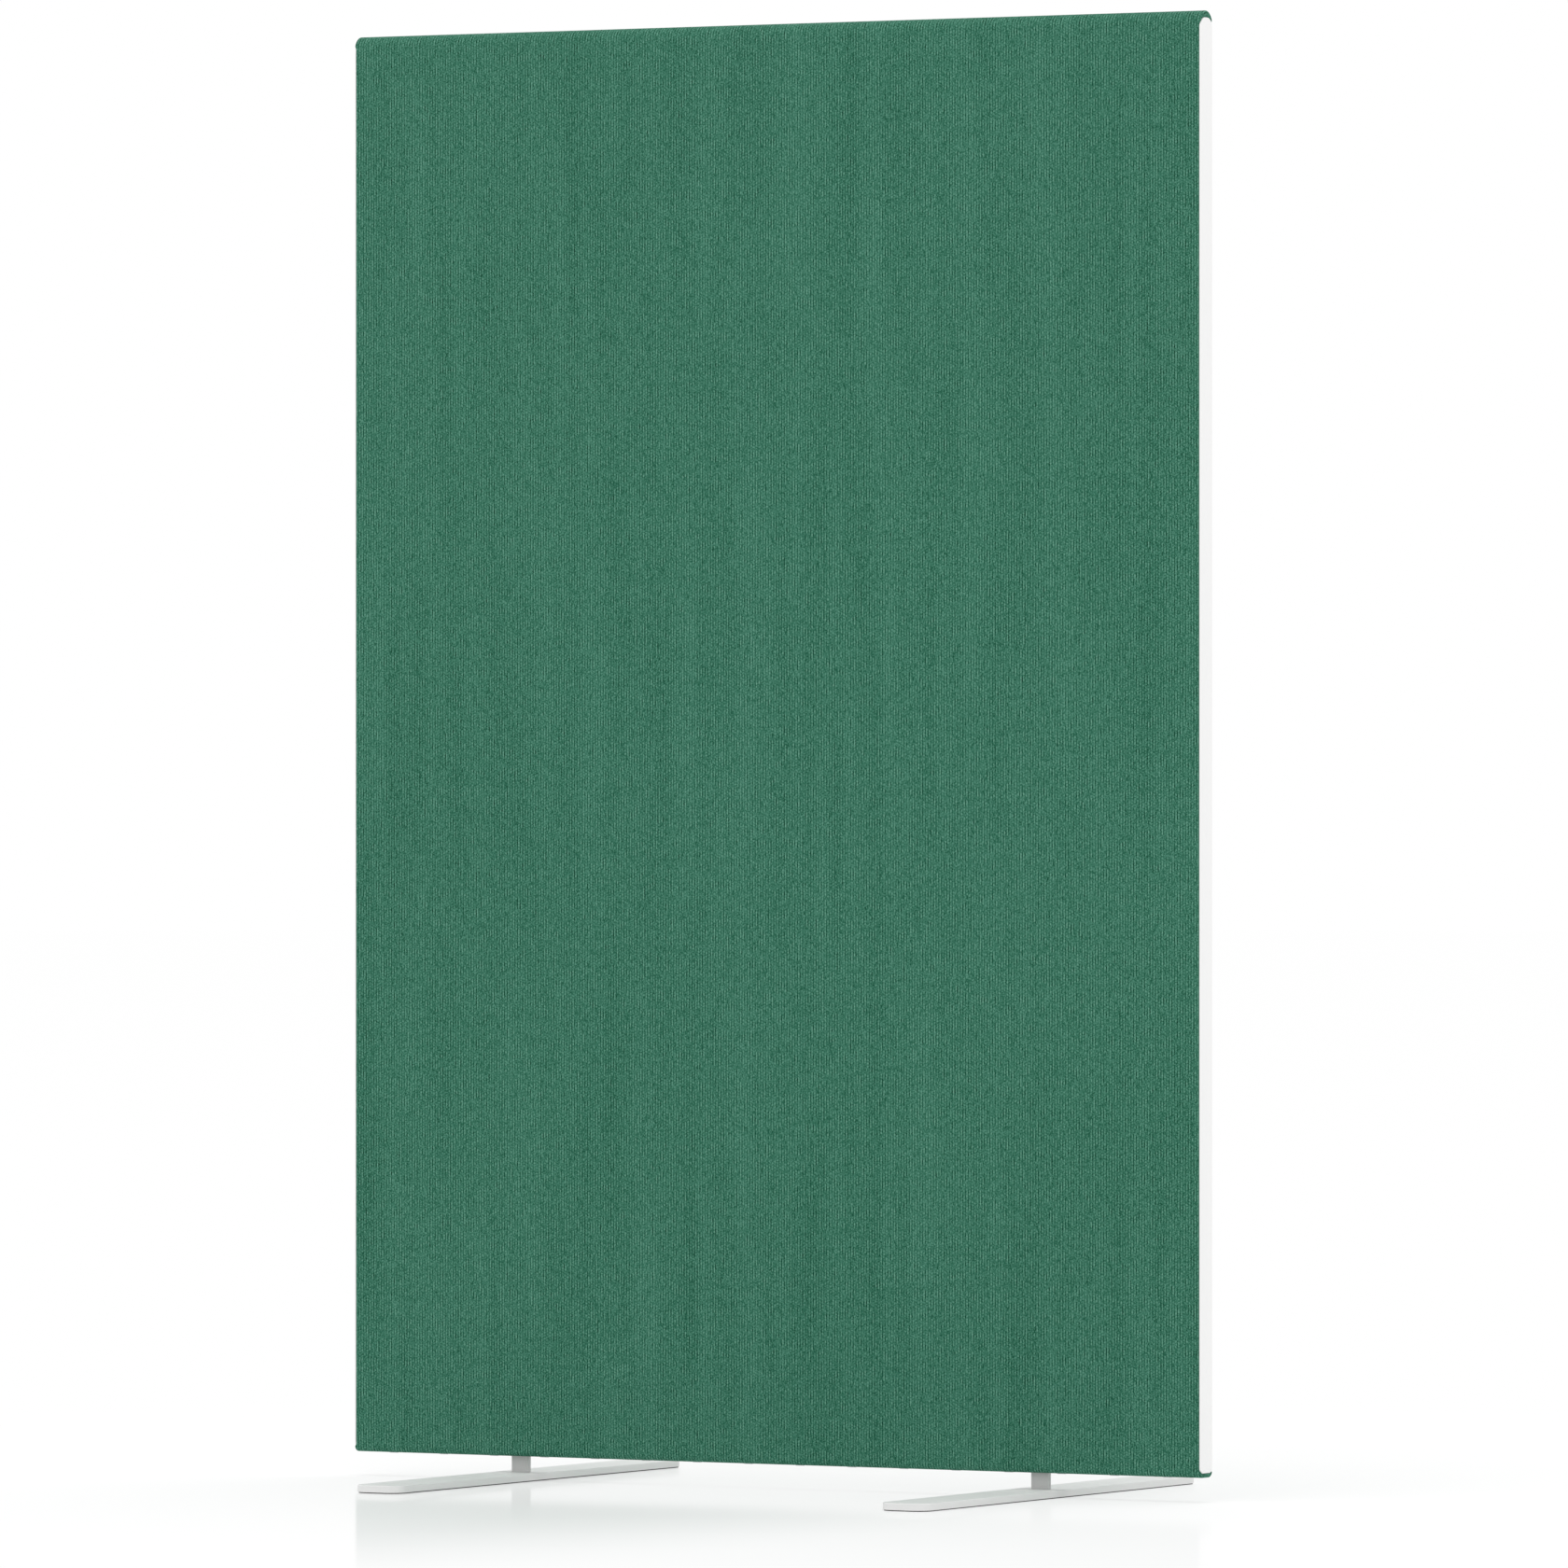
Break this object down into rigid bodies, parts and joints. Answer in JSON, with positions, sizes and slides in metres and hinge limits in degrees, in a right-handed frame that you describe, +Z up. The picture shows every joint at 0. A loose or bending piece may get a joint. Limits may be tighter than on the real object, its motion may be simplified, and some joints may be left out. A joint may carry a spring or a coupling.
{
  "type": "office floor screen",
  "caption": "Free-standing acoustic floor screen: fabric-covered panel with rounded top and white edge strips, on flat steel feet.",
  "frame": {"origin": "on the floor, midway between the two feet, under the foot bars' middle", "axes": "+X along the panel to its right end as seen from the front, +Y from the front face to the back, +Z up"},
  "size_m": [1, 0.578, 1.5],
  "materials": {
    "cover_fabric": "ribbed woven, matt",
    "felt": "soft felt",
    "core_board": "pressed fibre board",
    "frame_wood": "planed, bare",
    "dowel_wood": "smooth, bare",
    "white_plastic": "satin",
    "coated_steel": "powder coated, fine satin",
    "bright_steel": "zinc plated",
    "spring_steel": "tempered strip",
    "pad_rubber": "matt"
  },
  "bodies": {
    "root": {"fabric_cover": "cover_fabric", "front_felt": "felt", "back_felt": "felt", "hem_staples": "bright_steel", "top_rail": "frame_wood", "middle_rail": "frame_wood", "bottom_rail": "frame_wood", "left_stile": "frame_wood", "right_stile": "frame_wood", "left_foot_block": "frame_wood", "right_foot_block": "frame_wood", "frame_dowels": "dowel_wood", "upper_core": "core_board", "lower_core": "core_board", "left_edge_strip": "white_plastic", "right_edge_strip": "white_plastic", "left_socket_plate": "bright_steel", "right_socket_plate": "bright_steel", "socket_screws": "bright_steel", "left_bar_spring": "spring_steel", "right_bar_spring": "spring_steel", "spring_screws": "bright_steel", "left_foot_bar": "coated_steel", "right_foot_bar": "coated_steel", "left_foot_plate": "coated_steel", "right_foot_plate": "coated_steel", "left_bar_weld": "coated_steel", "right_bar_weld": "coated_steel", "left_foot_pad": "pad_rubber", "right_foot_pad": "pad_rubber"}
  },
  "joints": []
}
